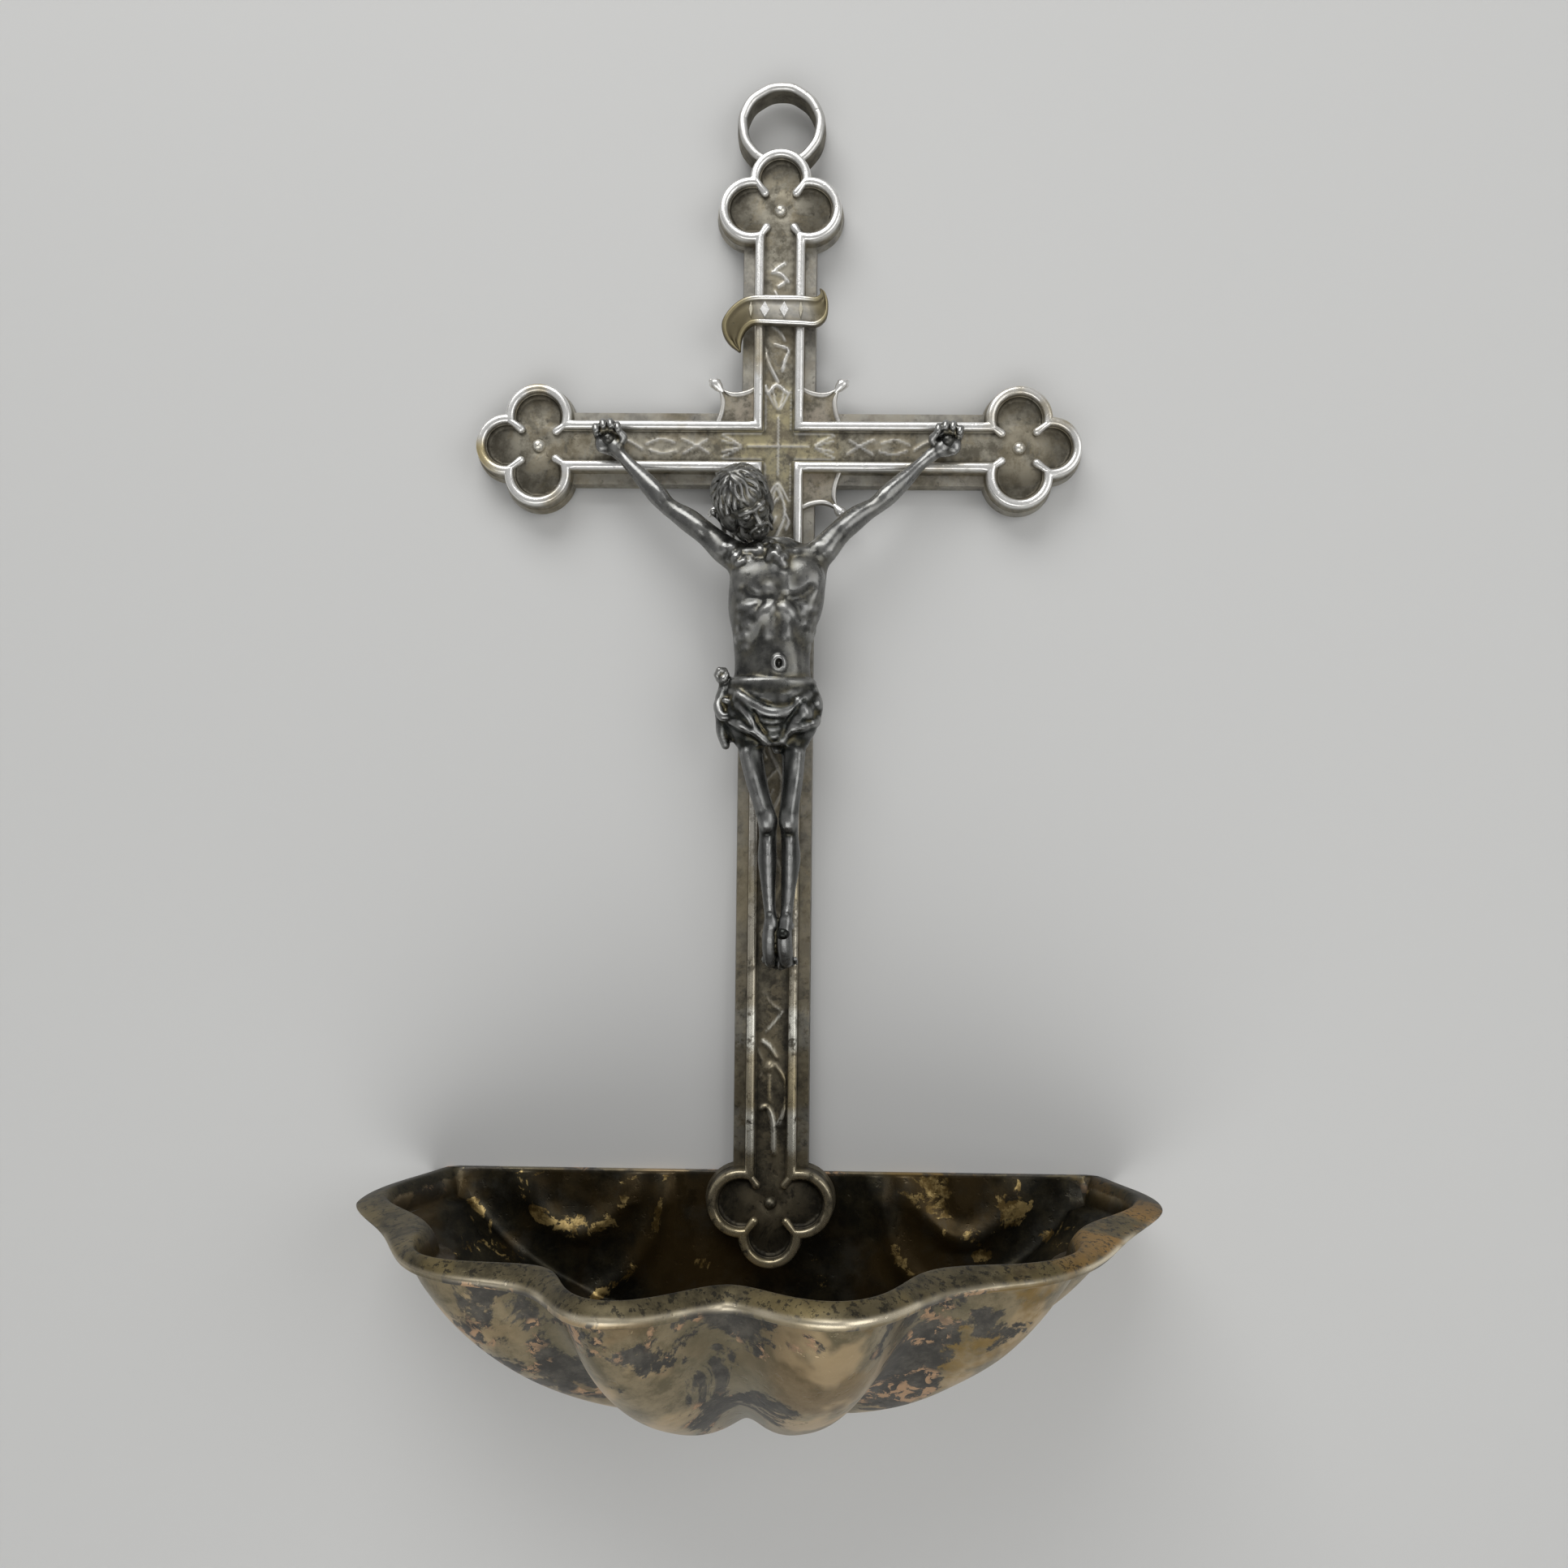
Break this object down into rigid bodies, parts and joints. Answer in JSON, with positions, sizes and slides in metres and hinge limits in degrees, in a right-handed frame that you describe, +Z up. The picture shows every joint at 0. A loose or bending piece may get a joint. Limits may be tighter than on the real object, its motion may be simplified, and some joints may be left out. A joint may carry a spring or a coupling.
{
  "type": "holy water stoup",
  "caption": "Wall crucifix in cast brass with trefoil ends and a figure, hung by a top ring and carrying a fluted shell basin at its foot.",
  "frame": {"origin": "centre of the hanging ring's bore, on the back face of the cross", "axes": "+Z up along the cross's upright, -Y out from the wall towards the viewer, +X to the viewer's right"},
  "size_m": [0.1387, 0.0765, 0.2366],
  "materials": {
    "silvered_brass": "silvered cast brass with a warm grey-brown patina, raised borders worn bright",
    "blackened_silver": "cast figure, blackened silver plate, glossy on the high points",
    "plain_brass": "plain brass, dull",
    "rivet_brass": "domed brass rivets, rubbed",
    "shell_brass": "cast brass shell, mottled dark patina, near black inside with worn amber patches, lip edge polished"
  },
  "bodies": {
    "root": {"hanging_ring": "silvered_brass", "cross_back_plate": "silvered_brass", "nimbus_plate": "silvered_brass", "cross_front_frame": "silvered_brass", "title_scroll": "silvered_brass", "corpus": "blackened_silver", "hand_pin_left": "blackened_silver", "hand_pin_right": "blackened_silver", "foot_pin": "blackened_silver", "hand_nut_left": "plain_brass", "hand_nut_right": "plain_brass", "foot_nut": "plain_brass", "trefoil_rivet_top": "rivet_brass", "trefoil_rivet_left": "rivet_brass", "trefoil_rivet_right": "rivet_brass", "bowl_rivet": "rivet_brass", "shell_bowl": "shell_brass"}
  },
  "joints": []
}
